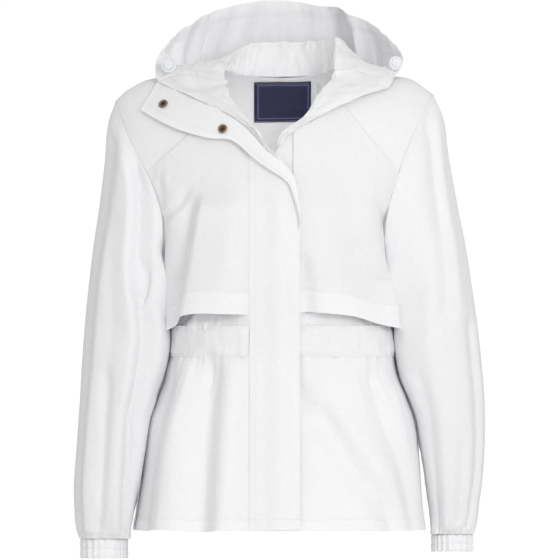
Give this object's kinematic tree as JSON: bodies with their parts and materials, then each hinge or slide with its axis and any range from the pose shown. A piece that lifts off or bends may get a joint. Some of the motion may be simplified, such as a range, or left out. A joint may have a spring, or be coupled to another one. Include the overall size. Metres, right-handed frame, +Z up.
{
  "type": "hooded rain jacket",
  "caption": "Light hooded rain jacket held in its worn form, open at the neck, with storm flaps, a drawn waist and gathered cuffs.",
  "frame": {"origin": "between the shoulders at the base of the neck, where the wearer carries the jacket", "axes": "+Z up, -Y the way the wearer faces, +X to the wearer's left"},
  "size_m": [0.5753, 0.3239, 0.7819],
  "materials": {
    "shell": "white close woven rain shell, soft sheen",
    "snap_metal": "darkened brass",
    "label_weave": "navy woven label",
    "toggle_plastic": "white moulded plastic"
  },
  "bodies": {
    "root": {"back": "shell", "front_right": "shell", "front_left": "shell", "yoke_right": "shell", "yoke_left": "shell", "storm_flap_right": "shell", "storm_flap_left": "shell", "placket": "shell", "placket_facing": "shell", "collar_right": "shell", "hood_right": "shell", "hood_middle": "shell", "hood_left": "shell", "collar_left": "shell", "waist_casing_right": "shell", "waist_casing_left": "shell", "waist_casing_back": "shell", "sleeve_right": "shell", "sleeve_left": "shell", "cuff_right": "shell", "cuff_left": "shell", "snap_upper": "snap_metal", "snap_lower": "snap_metal", "label": "label_weave", "cord_lock_right": "toggle_plastic", "cord_lock_left": "toggle_plastic"}
  },
  "joints": []
}
